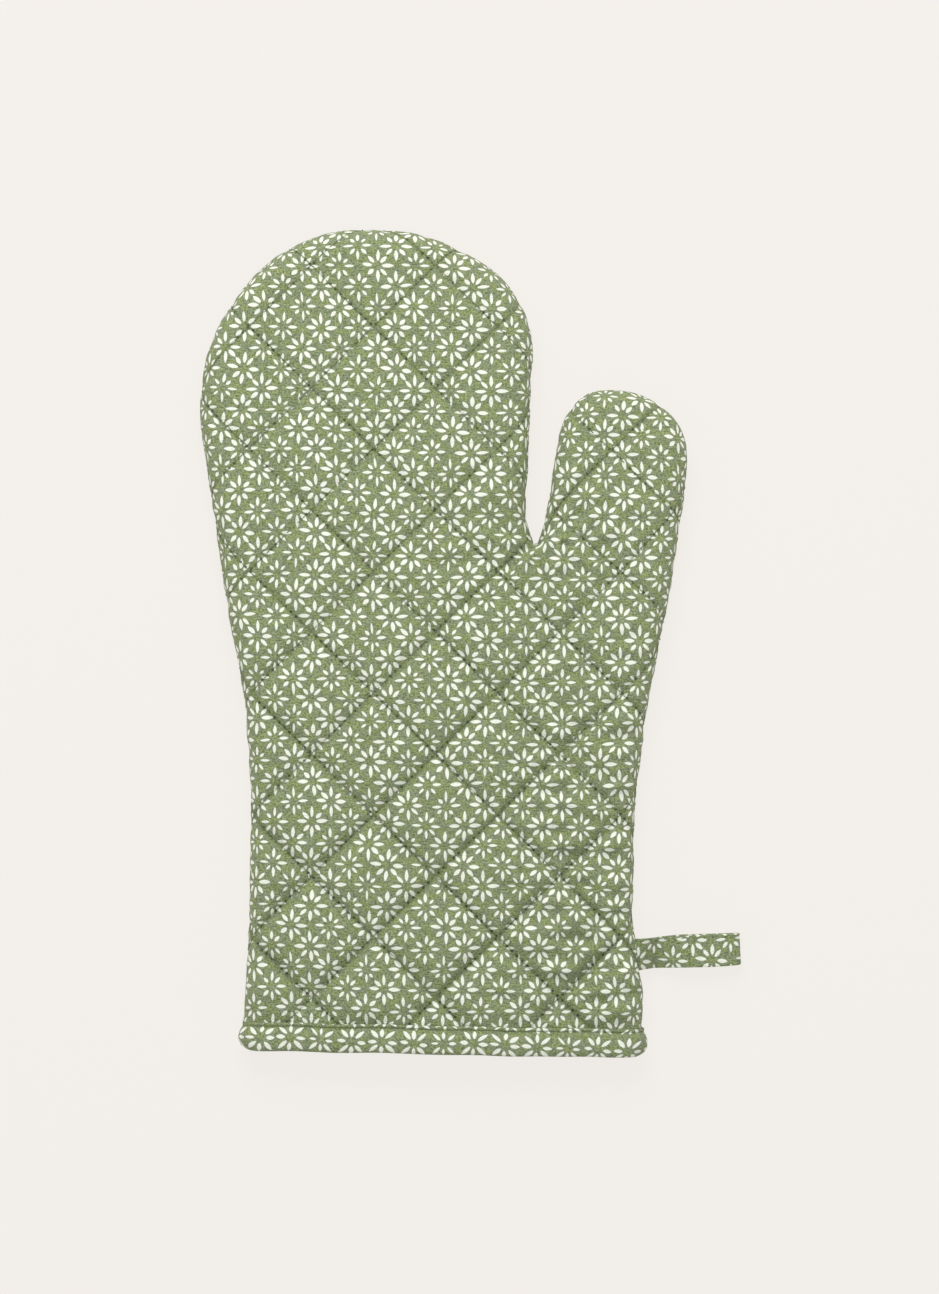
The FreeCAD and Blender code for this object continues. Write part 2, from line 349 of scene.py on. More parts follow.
GROOVE_WIDTH = 1.1
GROOVE_DEPTH = 0.4
PUCKER_LENGTH = 3.1
PUCKER_REACH = 3.2
PUCKER_HEIGHT = 0.4


def quilt_relief(cloth, seed):
    """Height of the quilting over the flat face: soft pads, a narrow groove at each line, and puckers."""
    a, b = quilt_place(cloth)
    near_a = line_distance(a)
    near_b = line_distance(b)
    pad = (1 - np.exp(-near_a / QUILT_SOFTNESS)) * (1 - np.exp(-near_b / QUILT_SOFTNESS))
    groove = np.exp(-((near_a / GROOVE_WIDTH) ** 2)) + np.exp(-((near_b / GROOVE_WIDTH) ** 2))
    ripple_a = noise_at(np.column_stack([np.round(a / QUILT_SIDE) * 9, b]), PUCKER_LENGTH, seed)
    ripple_b = noise_at(np.column_stack([a, np.round(b / QUILT_SIDE) * 9]), PUCKER_LENGTH, seed + 1)
    pucker = ripple_a * np.exp(-near_a / PUCKER_REACH) + ripple_b * np.exp(-near_b / PUCKER_REACH)
    # The lines are pulled tightest by the cuff, and least on the thumb.
    pull = 1.0 - 0.56 * np.clip(cloth[:, 1] / 120, -1, 1)
    pull *= 1 - 0.5 * smooth((cloth[:, 0] - 22) / 10) * smooth((cloth[:, 1] - 35) / 25)
    relief = -QUILT_DEPTH * (1 - pad) - GROOVE_DEPTH * np.minimum(groove, 1)
    return pull * relief + PUCKER_HEIGHT * pucker


# Tucks that the tight crotch draws into the cloth: both ends on the flat cloth, and the depth.
TUCKS = (
    ((24.0, 37.0), (8.0, 23.5), 2.3),
    ((29.5, 42.0), (52.0, 54.5), 1.4),
    ((30.0, 47.5), (45.0, 63.0), 1.2),
    ((20.0, 40.5), (3.0, 44.5), 0.9),
    ((26.0, 37.0), (38.0, 37.5), 0.7),
)
TUCK_WIDTH = 1.6
TUCK_STRENGTH = 1.6
FAN_HEIGHT = 4.6
LEVEL_HEIGHT = 4.4


def tucks(cloth):
    """Depth of the tucks: narrow valleys that die away from the crotch."""
    depth = np.zeros(len(cloth))
    for start, end, deep in TUCKS:
        run = np.subtract(end, start)
        share = np.clip((cloth - start) @ run / (run @ run), 0, 1)
        away = np.linalg.norm(cloth - start - share[:, None] * run, axis=1)
        depth = np.maximum(depth, deep * (1 - smooth(share)) * np.exp(-((away / TUCK_WIDTH) ** 2)))
    return depth


def creases(cloth, seed):
    """Height of the loose cloth's creases: fanned out from the thumb's crotch, and level by the wrist."""
    slack = np.minimum(1, nearest_line(cloth) / 5)
    away = cloth - CROTCH
    reach = np.linalg.norm(away, axis=1)
    angle = np.arctan2(away[:, 1], away[:, 0])
    fan = noise_at(np.column_stack([angle * 14, reach / 3]), 2.4, seed)
    fan = fan * np.exp(-reach / 26) * smooth(reach / 6) * (0.4 + 0.6 * slack)
    wrist = smooth((cloth[:, 0] + 10) / 60) * smooth((20 - cloth[:, 1]) / 70)
    level = noise_at(cloth / (3.6, 1.0), 4.2, seed + 1) * slack * (0.2 + 0.8 * wrist)
    return FAN_HEIGHT * fan + LEVEL_HEIGHT * level - TUCK_STRENGTH * tucks(cloth)


def rim_height(depth):
    """Height of the pillow over the side seam at a depth inside the outline."""
    inset = np.minimum(depth, RIM)
    return np.maximum(np.sqrt(RIM**2 - (RIM - inset) ** 2) + BODY_HALF - RIM, RIM_HEIGHT)


def mouth_bow(plan):
    """How far the palm side stands off its even height near the mouth, which gapes a little."""
    share = np.clip((plan - CUFF_MIDDLE) @ CUFF_ALONG / MOUTH_BOW_REACH, -1, 1)
    bow = 0.5 + 0.5 * np.cos(math.pi * share) + 0.22 * np.sin(2 * math.pi * share)
    return MOUTH_BOW * bow * (1 - smooth(cuff_rise(plan) / MOUTH_BOW_RISE))


def palm_bow(cap, side):
    """The mouth's bow over a cap, which only the palm side has."""
    return mouth_bow(cap.plan) * smooth(cap.depth / RIM) if side > 0 else 0


def rim_waver(cap):
    """How far the sewn edge wavers in and out: gathered in where a quilting line meets it."""
    waver = 0.30 * noise_at(cap.foot, 7.0, 3) + 0.25 * noise_at(cap.foot, 2.6, 4)
    gather = 0.45 * np.exp(-((nearest_line(flat_cloth(cap)) / 2.6) ** 2))
    return (gather - waver) * np.exp(-cap.depth / 5) * smooth(cap.rise / 12)


BINDING_PRESS = 1.9  # how far the binding presses the face in
LOOSE_HEIGHT = 0.35
PALM_SWELL = 0.9


def face_surface(cap, side):
    """The points of one quilted face before simulation. side is 1 for the palm and -1 for the back."""
    seed = COVER_SEEDS[side]
    cloth = flat_cloth(cap)
    height = rim_height(cap.depth)
    free = smooth((cap.rise - BINDING_DEPTH) / 6)
    strength = np.sqrt(np.clip(cap.depth / RIM, 0, 1)) * (0.25 + 0.75 * free)
    uneven = 1 + 0.4 * noise_at(cap.plan, 12.0, seed + 9)
    pressed = BINDING_PRESS * (1 - free) * uneven * smooth(cap.depth / RIM)
    height = height + quilt_relief(cloth, seed) * strength - pressed
    loose = creases(cloth, seed + 5) + LOOSE_HEIGHT * noise_at(cap.plan, 9.0, seed + 2)
    height += loose * strength
    if side > 0:
        height += PALM_SWELL * noise_at(cap.plan, 55.0, seed + 3) * smooth(cap.depth / 30) * free
    height += palm_bow(cap, side)
    hem = np.array((0, *HEM_HEIGHT))[cap.level]
    height = np.where(cap.level > 0, hem, height)
    plan = cap.plan + cap.inward * rim_waver(cap)[:, None]
    return np.column_stack([plan, SEAM_Z + side * height])


def vertex_normals(points, faces, side):
    """Unit normals that point out of the mitt."""
    normals = np.zeros_like(points)
    for face in faces:
        a, b, c = points[face[0]], points[face[1]], points[face[2]]
        cross = np.cross(b - a, c - a)
        for v in face:
            normals[v] += cross
    return side * normals / np.maximum(np.linalg.norm(normals, axis=1), 1e-12)[:, None]


def add_object(name, data):
    holder = bpy.data.objects.new(name, data)
    bpy.context.collection.objects.link(holder)
    return holder


def raw_mesh(name, points, faces):
    """A mesh object from points in millimetres."""
    mesh = bpy.data.meshes.new(name)
    mesh.from_pydata((np.asarray(points) * MM).tolist(), [], faces)
    return add_object(name, mesh)


# The simulation of each cover, by side: how much the cloth grows, and the pressure under it.
PUFF = {1: (0.055, 5.0), -1: (0.03, 2.0)}
PUFF_STEPS = 16
PUFF_LIMIT = 1.6
CLOTH_SETTINGS = {
    "quality": 6,
    "mass": 0.2,
    "tension_stiffness": 14,
    "compression_stiffness": 14,
    "shear_stiffness": 6,
    "bending_stiffness": 0.35,
    "air_damping": 4,
    "vertex_group_mass": "held",
    "use_pressure": True,
}


def puff(cap, points, side):
    """Lets the cloth between the quilting lines grow and fill by simulation, held at lines, rim and cuff."""
    growth, pressure = PUFF[side]
    faces = cap.faces if side > 0 else [f[::-1] for f in cap.faces]
    piece = raw_mesh("puff", points, faces)
    line = nearest_line(flat_cloth(cap))
    held = (line < 0.95) | (cap.depth < 2.5) | (cap.rise < BINDING_DEPTH + 1) | (cap.level > 0)
    group = piece.vertex_groups.new(name="held")
    group.add(np.nonzero(held)[0].tolist(), 1.0, "REPLACE")
    cloth = piece.modifiers.new("Cloth", "CLOTH")
    for key, value in CLOTH_SETTINGS.items():
        setattr(cloth.settings, key, value)
    cloth.settings.shrink_min = -growth
    cloth.settings.uniform_pressure_force = pressure
    cloth.settings.effector_weights.gravity = 0
    cloth.collision_settings.use_collision = False
    cloth.point_cache.frame_start = 1
    cloth.point_cache.frame_end = PUFF_STEPS
    scene = bpy.context.scene
    for step in range(1, PUFF_STEPS + 1):
        scene.frame_set(step)
        bpy.context.view_layer.update()
    evaluated = piece.evaluated_get(bpy.context.evaluated_depsgraph_get())
    result = np.array([v.co for v in evaluated.data.vertices]) / MM
    scene.frame_set(1)
    bpy.data.objects.remove(piece)
    moved = result - points
    far = np.linalg.norm(moved, axis=1)
    return points + moved * (np.minimum(far, PUFF_LIMIT) / np.maximum(far, 1e-9))[:, None]


# ---- pieces ----


def make_piece(name, points, faces, maps, material, normals=None):
    """A finished piece with its material. Its flat maps are given by point or by face corner."""
    piece = raw_mesh(f"{name}_piece", points, faces)
    mesh = piece.data
    mesh.validate()
    loops = np.array([loop.vertex_index for loop in mesh.loops])
    for layer, values in maps.items():
        uv = mesh.uv_layers.new(name=layer)
        values = np.asarray(values)
        if len(values) == len(points):
            values = values[loops]
        uv.data.foreach_set("uv", (values * MM).astype(np.float32).ravel())
    mesh.polygons.foreach_set("use_smooth", [True] * len(mesh.polygons))
    if normals is not None:
        mesh.normals_split_custom_set_from_vertices(np.asarray(normals).tolist())
    mesh.materials.append(material)
    return piece


def slab(name, outer, inner, faces, maps, material, normals, side):
    """A closed layer of cloth between two point sets that share their faces."""
    used = sorted({v for f in faces for v in f})
    index = {v: k for k, v in enumerate(used)}
    count = len(used)
    top = [[index[v] for v in f] for f in faces]
    if side < 0:
        top = [f[::-1] for f in top]
    under = [[v + count for v in f[::-1]] for f in top]
    walls = [[b, a, a + count, b + count] for a, b in border_edges(top)]
    points = np.vstack([outer[used], inner[used]])
    doubled = {layer: np.vstack([values[used], values[used]]) for layer, values in maps.items()}
    both = np.vstack([normals[used], -normals[used]])
    return make_piece(name, points, top + under + walls, doubled, material, both)


def tube_faces(rings, sides, start=0, closed=False):
    """Faces of a tube of rings of points, closed on itself or capped at both ends."""
    faces = []
    for ring in range(rings if closed else rings - 1):
        here = start + ring * sides
        there = start + (ring + 1) % rings * sides
        for k in range(sides):
            beside = (k + 1) % sides
            faces.append([here + k, here + beside, there + beside, there + k])
    if not closed:
        last = start + (rings - 1) * sides
        faces.append([start + k for k in reversed(range(sides))])
        faces.append([last + k for k in range(sides)])
    return faces


SPINDLE = ((-0.5, 0.3), (-0.36, 0.85), (0, 1.0), (0.36, 0.85), (0.5, 0.3))
SPINDLE_SIDES = 6

# Each row's stitches: their length and their width.
QUILT_STITCH = (STITCH_PITCH * 0.84, 0.42)
SEAM_STITCH = (2.4, 0.4)
EDGE_STITCH = (2.3, 0.45)
LOOP_STITCH = (2.2, 0.4)
SEAM_PITCH = 3.0
SEAM_INSET = 2.0


def stitches(name, places, length, width, material):
    """Many short stitches in one mesh. Each place is a centre, a direction and the surface normal."""
    points = []
    faces = []
    for centre, along, normal in places:
        along = unit(along)
        across = np.cross(normal, along)
        faces += tube_faces(len(SPINDLE), SPINDLE_SIDES, len(points))
        for at, size in SPINDLE:
            for k in range(SPINDLE_SIDES):
                angle = 2 * math.pi * k / SPINDLE_SIDES
                off = across * math.cos(angle) + normal * math.sin(angle) * 0.8
                sag = -normal * width * 1.6 * (2 * at) ** 4
                points.append(centre + along * at * length + off * size * width / 2 + sag)
    points = np.array(points)
    flat = points[:, :2] + points[:, 2:3] * 0.7
    return make_piece(name, points, faces, {"print": flat}, material)


class ClothMap:
    """Finds the point of a face's surface that a point of the flat cloth went to."""

    def __init__(self, cloth, points, normals, faces):
        self.cloth = cloth
        self.points = points
        self.normals = normals
        self.faces = faces
        flat = [(c[0], c[1], 0.0) for c in cloth]
        self.tree = BVHTree.FromPolygons(flat, faces)

    def find(self, place):
        hit = self.tree.ray_cast(Vector((place[0], place[1], 1.0)), Vector((0, 0, -1)))
        if hit[2] is None:
            return None
        face = self.faces[hit[2]][:3]
        a, b, c = (self.cloth[v] for v in face)
        frame2 = np.column_stack([b - a, c - a])
        if abs(np.linalg.det(frame2)) < 1e-9:
            return None
        u, v = np.linalg.solve(frame2, np.asarray(place) - a)
        share = np.array((1 - u - v, u, v))
        return share @ self.points[face], share @ self.normals[face]


def quilt_stitches(cloth_map, side):
    """Places of the stitches along every quilting line of one face."""
    places = []
    rng = np.random.default_rng(11 if side > 0 else 12)
    for turn in (1, -1):
        along = np.array((QUILT_HALF_WIDTH, turn * QUILT_HALF_HEIGHT)) / QUILT_SIDE
        across = np.array((QUILT_HALF_WIDTH, -turn * QUILT_HALF_HEIGHT)) / QUILT_SIDE
        for line in range(-12, 13):
            for k in range(-120, 121):
                drift = 0.18 * math.sin(k * 0.31 + line * 2.1) + rng.normal(0, 0.05)
                place = QUILT_CROSSING + across * (line * QUILT_SIDE + drift) + along * k * STITCH_PITCH
                if cuff_rise(place[None])[0] < BINDING_DEPTH - 0.5:
                    continue
                middle = cloth_map.find(place)
                ahead = cloth_map.find(place + along * 0.6)
                if middle is None or ahead is None:
                    continue
                run = ahead[0] - middle[0]
                if np.linalg.norm(run) < 0.2:
                    continue
                normal = unit(middle[1])
                places.append((middle[0] + normal * 0.12, run, normal))
    return places


def on_thumb(point):
    """Whether a point belongs to the thumb's pieces: past the line through the crotch, right of the cleft."""
    return (point[:2] - CROTCH) @ THUMB_NORMAL > 0 and point[0] > CROTCH[0] - 1


# ---- materials ----


class Value:
    """A number that a material's nodes work out. Arithmetic on it adds math nodes."""

    def __init__(self, shader, socket):
        self.shader = shader
        self.socket = socket

    def apply(self, operation, *others):
        return self.shader.math(operation, self, *others)

    def clamped(self):
        """Keeps the last step's result between 0 and 1."""
        self.socket.node.use_clamp = True
        return self

    def __rsub__(self, other):
        return self.shader.math("SUBTRACT", other, self)

    __add__ = __radd__ = partialmethod(apply, "ADD")
    __mul__ = __rmul__ = partialmethod(apply, "MULTIPLY")
    __sub__ = partialmethod(apply, "SUBTRACT")
    __truediv__ = partialmethod(apply, "DIVIDE")
    __pow__ = partialmethod(apply, "POWER")
    __abs__ = partialmethod(apply, "ABSOLUTE")


def set_inputs(node, values):
    for key, value in values.items():
        node.inputs[key].default_value = value


class Shader:
    """A material under construction, with short ways to add and join nodes."""

    def __init__(self, name, roughness, sheen):
        self.material = bpy.data.materials.new(name)
        self.material.use_nodes = True
        self.tree = self.material.node_tree
        self.surface = self.tree.nodes["Principled BSDF"]
        set_inputs(self.surface, {"Roughness": roughness, "Sheen Weight": sheen, "Sheen Roughness": 0.5})
        set_inputs(self.surface, {"Specular IOR Level": 0.25})

    def add(self, kind, **settings):
        node = self.tree.nodes.new(kind)
        for key, value in settings.items():
            setattr(node, key, value)
        return node

    def put(self, socket, value):
        value = value.socket if isinstance(value, Value) else value
        if isinstance(value, bpy.types.NodeSocket):
            self.tree.links.new(value, socket)
        else:
            socket.default_value = value

    def math(self, operation, *values):
        node = self.add("ShaderNodeMath", operation=operation)
        for socket, value in zip(node.inputs, values):
            self.put(socket, value)
        return Value(self, node.outputs[0])

    def step(self, value, low, high):
        """0 where value is under low, 1 over high, smooth between. high may be below low."""
        node = self.add("ShaderNodeMapRange", interpolation_type="SMOOTHSTEP")
        self.put(node.inputs["Value"], value)
        self.put(node.inputs["From Min"], low)
        self.put(node.inputs["From Max"], high)
        return Value(self, node.outputs["Result"])

    def mix(self, share, a, b):
        node = self.add("ShaderNodeMix", data_type="RGBA")
        self.put(node.inputs[0], share)
        self.put(node.inputs[6], a)
        self.put(node.inputs[7], b)
        return node.outputs[2]

    def flat(self, layer):
        """The two coordinates of a flat map, in millimetres."""
        node = self.add("ShaderNodeUVMap", uv_map=layer)
        split = self.add("ShaderNodeSeparateXYZ")
        self.put(split.inputs[0], node.outputs[0])
        return Value(self, split.outputs[0]) / MM, Value(self, split.outputs[1]) / MM

    def vector(self, x, y, z=0.0):
        node = self.add("ShaderNodeCombineXYZ")
        for socket, value in zip(node.inputs, (x, y, z)):
            self.put(socket, value)
        return node.outputs[0]

    def noise(self, x, y, across, along, detail=2.0):
        """Noise with features of the given sizes in mm along x and y, about 0.5."""
        node = self.add("ShaderNodeTexNoise", noise_dimensions="2D")
        self.put(node.inputs["Vector"], self.vector(x / across, y / along))
        set_inputs(node, {"Scale": 1.0, "Detail": detail})
        return Value(self, node.outputs["Fac"])

    def random(self, x, y, z):
        """Three random values for each whole x, y, z."""
        node = self.add("ShaderNodeTexWhiteNoise", noise_dimensions="3D")
        self.put(node.inputs["Vector"], self.vector(x, y, z))
        split = self.add("ShaderNodeSeparateColor")
        self.put(split.inputs[0], node.outputs["Color"])
        return [Value(self, split.outputs[k]) for k in range(3)]

    def finish(self, colour, height, distance):
        """Gives the surface its colour, and bumps of the given depth in mm. Returns the material."""
        node = self.add("ShaderNodeBump")
        set_inputs(node, {"Distance": distance * MM, "Strength": 1.0})
        self.put(node.inputs["Height"], height)
        self.put(self.surface.inputs["Normal"], node.outputs[0])
        self.put(self.surface.inputs["Base Color"], colour)
        return self.material


def weave(shader, x, y, pitch):
    """Height of a plain weave, over-one under-one, with threads of uneven thickness."""
    turn = 2 * math.pi / pitch
    waver = shader.noise(x, y, 2.5, 2.5) * 0.5
    warp = ((x + waver) * turn).apply("SINE")
    weft = ((y + waver) * turn).apply("SINE")
    return warp * weft


FLOWER_PETALS = 8
PRINT_DRIFT = 3.2  # how far the print wanders off its lattice
DRIFT_LENGTH = 45
# A petal's ends, measured from the flower's centre, and its half width. Bold flowers and chance add to them.
PETAL_START = 1.55
PETAL_END = 4.95
PETAL_HALF = 0.43
SLANTED_SHORTER = 1.0


def flower_print(shader, x, y):
    """Shares of white petal and of its grey edge: eight-petalled flowers on a staggered lattice, bold and
    slight by turns. The hand-drawn unevenness repeats every four columns and eight rows."""
    drift_x = (shader.noise(x, y, DRIFT_LENGTH, DRIFT_LENGTH) - 0.5) * PRINT_DRIFT
    drift_y = (shader.noise(y, x, DRIFT_LENGTH, DRIFT_LENGTH) - 0.5) * PRINT_DRIFT
    px = x - FLOWER_START[0] + drift_x
    py = y - FLOWER_START[1] + drift_y
    level_x, level_y = turned(px, py, -PRINT_TILT)

    # The nearest flower: its column and row, and the point's offset from its centre.
    px = level_x / FLOWER_X
    py = level_y / FLOWER_Y
    s = ((px + py) / 2.0).apply("ROUND")
    t = ((px - py) / 2.0).apply("ROUND")
    column = s + t
    row = s - t
    dx = (px - column) * FLOWER_X
    dy = (py - row) * FLOWER_Y
    even = 0.5 + 0.5 * (row * math.pi).apply("COSINE")
    phase = column + (row + 1.0) * even - 1.0
    bold = 0.5 + 0.5 * (phase * (math.pi / 2)).apply("COSINE")
    column = column.apply("WRAP", 4.0, 0.0)
    row = row.apply("WRAP", 8.0, 0.0)
    tilt, vigour, _ = shader.random(column, row, 0.0)

    # The nearest petal: places along it and across it, its ends and its half width.
    angle = dy.apply("ARCTAN2", dx) + (tilt - 0.5) * 0.12
    sector_angle = 2 * math.pi / FLOWER_PETALS
    sector = (angle / sector_angle).apply("ROUND")
    number = sector.apply("WRAP", float(FLOWER_PETALS), 0.0)
    turn, size, long = shader.random(column, row, number + 1.0)
    off = angle - sector * sector_angle + (turn - 0.5) * 0.18
    radius = (dx * dx + dy * dy).apply("SQRT")
    along = radius * off.apply("COSINE")
    across = abs(radius * off.apply("SINE"))
    slanted = abs(sector).apply("MODULO", 2.0)
    heavy = bold * 0.85 + vigour * 0.15
    first = PETAL_START + turn * 0.5
    last = PETAL_END + heavy * 0.75 + long * 0.7 - slanted * SLANTED_SHORTER
    half = PETAL_HALF + heavy * 0.20 + size * 0.2

    def petal(margin, soft):
        share = ((along - (first - margin)) / (last - first + 2 * margin)).clamped()
        bulge = ((share**0.9) * math.pi).apply("SINE") ** 0.75
        edge = bulge * (half + margin) - across
        return shader.step(edge, -soft, soft) * shader.step(bulge, 0.02, 0.2)

    return petal(0.0, 0.14), petal(0.35, 0.3)


GREEN_WARM = (0.372, 0.440, 0.192, 1)
GREEN_COOL = (0.345, 0.400, 0.242, 1)
GREEN_DARK = (0.085, 0.112, 0.045, 1)
GREY_EDGE = (0.255, 0.268, 0.215, 1)
PETAL_WHITE = (0.945, 0.975, 0.845, 1)
# Painted shade: the colour of the dark needle holes and of the shaded band along each quilting groove.
QUILT_SHADE_COLOUR = (0.035, 0.05, 0.018, 1)
LINING_DARK = (0.60, 0.57, 0.48, 1)
LINING_LIGHT = (0.72, 0.70, 0.62, 1)
WADDING_DARK = (0.62, 0.61, 0.57, 1)
WADDING_LIGHT = (0.88, 0.87, 0.83, 1)
THREAD_LIGHT = (0.27, 0.33, 0.12, 1)
THREAD_DARK = (0.14, 0.17, 0.06, 1)
COTTON_PITCH = 0.62
LINING_PITCH = 0.8
HOLE_RADII = (0.8, 0.3)  # where a needle hole's shade starts and is full
# Half the width of the painted shade along each quilting groove.
GROOVE_SHADE_HALF = 1.8


def quilting_shade(shader):
    """Painted shade over the flat cloth from the quilting: dark needle holes, and a faint shaded band along
    each groove. Both are painted stronger towards the cuff, where the quilting is pulled tightest."""
    u, v = shader.flat("quilt")
    # The painted shade grows stronger towards the cuff.
    cuffward = shader.step(v, -40.0, -230.0)
    hole_share = 1.0 + cuffward * 0.1
    line_share = 0.12 + cuffward * 0.2
    u = u / (2 * QUILT_HALF_WIDTH)
    v = v / (2 * QUILT_HALF_HEIGHT)
    dark = 0.0
    for line, course, depth in ((u + v, u - v, 0.88), (u - v, u + v, 0.82)):
        near = line.apply("PINGPONG", 0.5) * QUILT_SIDE
        run = course * (QUILT_SIDE / STITCH_PITCH)
        hole = (run + 0.5).apply("PINGPONG", 0.5) * STITCH_PITCH
        reach = (near * near + hole * hole * 0.7).apply("SQRT")
        uneven = shader.step(shader.noise(u, v, 0.12, 0.12), 0.25, 0.6)
        spot = shader.step(reach, *HOLE_RADII) * depth * (uneven * hole_share)
        # Painted shade along the quilting groove.
        groove_shade = shader.step(near, GROOVE_SHADE_HALF, 0.0) * line_share
        dark = shader.math("MAXIMUM", dark, spot.apply("MAXIMUM", groove_shade))
    return dark.apply("MINIMUM", 0.95)


def printed_cotton(name, quilted):
    """Heathered green cotton with the white flower print, and painted shade at the needle holes and along the
    quilting grooves.
    """
    shader = Shader(name, 0.85, 0.1)
    x, y = shader.flat("print")
    patch = shader.step(shader.noise(x, y, 4.5, 3.2), 0.38, 0.62)
    slub = shader.step(shader.noise(x, y, 2.2, 0.55), 0.34, 0.64)
    upright = shader.step(shader.noise(x, y, 0.55, 1.9), 0.34, 0.64)
    fleck = shader.step(shader.noise(x, y, 0.75, 0.6), 0.34, 0.62)
    cloth = shader.mix(patch, GREEN_COOL, GREEN_WARM)
    shade = (0.9 - (slub * 0.28 + upright * 0.14) - fleck * 0.48).clamped()
    cloth = shader.mix(shade, cloth, GREEN_DARK)
    petal, edge = flower_print(shader, x, y)
    cloth = shader.mix(edge * 0.5, cloth, GREY_EDGE)
    cloth = shader.mix(petal * (0.92 + fleck * 0.08), cloth, PETAL_WHITE)
    if quilted:
        # Painted shade at the needle holes and along the quilting grooves.
        cloth = shader.mix(quilting_shade(shader), cloth, QUILT_SHADE_COLOUR)
    threads = weave(shader, x, y, COTTON_PITCH) * 0.35
    return shader.finish(cloth, threads + (fleck + slub * 0.5), 0.09)


def plain_cotton():
    """Undyed plain-weave lining."""
    shader = Shader("lining_cotton", 0.9, 0.1)
    x, y = shader.flat("print")
    slub = shader.step(shader.noise(x, y, 6.0, 0.7, 3.0), 0.3, 0.7)
    cloth = shader.mix(slub, LINING_DARK, LINING_LIGHT)
    return shader.finish(cloth, weave(shader, x, y, LINING_PITCH) + slub, 0.1)


def wadding_fibre():
    """Matted white cotton fibre."""
    shader = Shader("wadding_fibre", 0.95, 0.3)
    x, y = shader.flat("print")
    clump = shader.noise(x, y, 3.0, 3.0, 5.0)
    hair = shader.noise(x, y, 0.4, 2.2, 4.0)
    return shader.finish(shader.mix(clump, WADDING_DARK, WADDING_LIGHT), clump + hair, 0.5)


def green_thread():
    """Twisted sewing thread."""
    shader = Shader("green_thread", 0.6, 0.2)
    x, y = shader.flat("print")
    twist = ((x + y * 1.7) * 14.0).apply("SINE")
    shade = twist * 0.3 + shader.noise(x, y, 5.0, 5.0)
    return shader.finish(shader.mix(shade, THREAD_DARK, THREAD_LIGHT), twist, 0.05)


# ---- the stage ----

PHOTO_ASPECT = 1294 / 939
VIEW_WIDTH = 352.4  # what the picture's width shows, at the seam's height
VIEW_CENTRE = (-0.6, -1.5)
CAMERA_HEIGHT = 1500.0
SENSOR = 36.0
FLOOR_HALF = 6000.0
FLOOR_COLOUR = (0.070, 0.068, 0.065, 1)
FLOOR_GLOW = (0.896, 0.863, 0.823, 1)
FLOOR_GLOW_STRENGTH = 0.92
SKY_STRENGTH = 0.55
WINDOW_PLACE = (-0.13, 0.8, 1.1)  # metres
WINDOW_SIZE = 0.8
WINDOW_POWER = 12.6
WHITE = (1.0, 1.0, 1.0)


def make_camera():
    camera = bpy.data.cameras.new("camera")
    camera.sensor_width = SENSOR
    camera.lens = SENSOR * CAMERA_HEIGHT / (VIEW_WIDTH * PHOTO_ASPECT)
    camera.clip_end = 100
    holder = add_object("camera", camera)
    holder.location = Vector((*VIEW_CENTRE, CAMERA_HEIGHT + SEAM_Z)) * MM
    bpy.context.scene.camera = holder


def make_window():
    """A broad soft light from beyond the fingertips, aimed at the mitt."""
    light = bpy.data.lights.new("window", "AREA")
    light.shape = "DISK"
    light.size = WINDOW_SIZE
    light.energy = WINDOW_POWER
    light.color = WHITE
    holder = add_object("window", light)
    holder.location = WINDOW_PLACE
    holder.rotation_euler = (-Vector(WINDOW_PLACE)).to_track_quat("-Z", "Y").to_euler()


def make_stage():
    """A pale table that glows a little, so that its shadows are faint, and even light from all round."""
    far = FLOOR_HALF
    corners = [(-far, -far, 0), (far, -far, 0), (far, far, 0), (-far, far, 0)]
    floor = raw_mesh("floor", corners, [(0, 1, 2, 3)])
    material = bpy.data.materials.new("floor")
    material.use_nodes = True
    set_inputs(material.node_tree.nodes["Principled BSDF"], {
        "Base Color": FLOOR_COLOUR,
        "Emission Color": FLOOR_GLOW,
        "Emission Strength": FLOOR_GLOW_STRENGTH,
        "Roughness": 0.95,
        "Specular IOR Level": 0.0,
    })
    floor.data.materials.append(material)
    world = bpy.data.worlds.new("studio")
    world.use_nodes = True
    set_inputs(world.node_tree.nodes["Background"], {"Color": (*WHITE, 1), "Strength": SKY_STRENGTH})
    bpy.context.scene.world = world
    bpy.context.scene.view_settings.view_transform = "Standard"


# ---- the mitt ----


COVER_THICKNESS = 0.6
LINING_THICKNESS = 0.4
PRINT_SHIFT = {1: (0.0, 0.0), -1: (101.0, 37.0)}  # the back is cut from another part of the print
UNDER_COVER = 1.5  # the wadding stays at least so far below the cover's outer face
LEAST_WADDING = 0.3


def bend(piece, thumb):
    """Bakes a piece's placement into its points, alike for the thumb and the rest; nothing is bent."""
    if thumb:
        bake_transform(piece)
    else:
        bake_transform(piece)


def settle(piece, slot, *nodes):
    """Hides the CAD nodes that a piece stands for. The slot is not used."""
    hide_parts(*nodes)


def part_names(name, thumb):
    """The name of a layer's piece on the thumb or on the rest of the mitt, and its CAD nodes."""
    return (f"{name}_thumb", [f"{name}_thumb"]) if thumb else (name, [f"{name}_hand", f"{name}_fingers"])


def make_layer(name, cap, outer, inner, maps, material, normals, side, slot):
    """One cloth layer between two point sets, as a main piece and a thumb piece."""
    for thumb in (False, True):
        faces = [f for f, on in zip(cap.faces, cap.thumb_faces) if on == thumb]
        title, nodes = part_names(name, thumb)
        piece = slab(title, outer, inner, faces, maps, material, normals, side)
        bend(piece, thumb)
        settle(piece, slot, *nodes)


def sew(name, places, length, width, material):
    """Stitches over the whole mitt, as a main piece and a thumb piece."""
    for thumb in (False, True):
        share = [p for p in places if on_thumb(p[0]) == thumb]
        title, nodes = part_names(name, thumb)
        piece = stitches(title, share, length, width, material)
        bend(piece, thumb)
        settle(piece, "thread", *nodes)


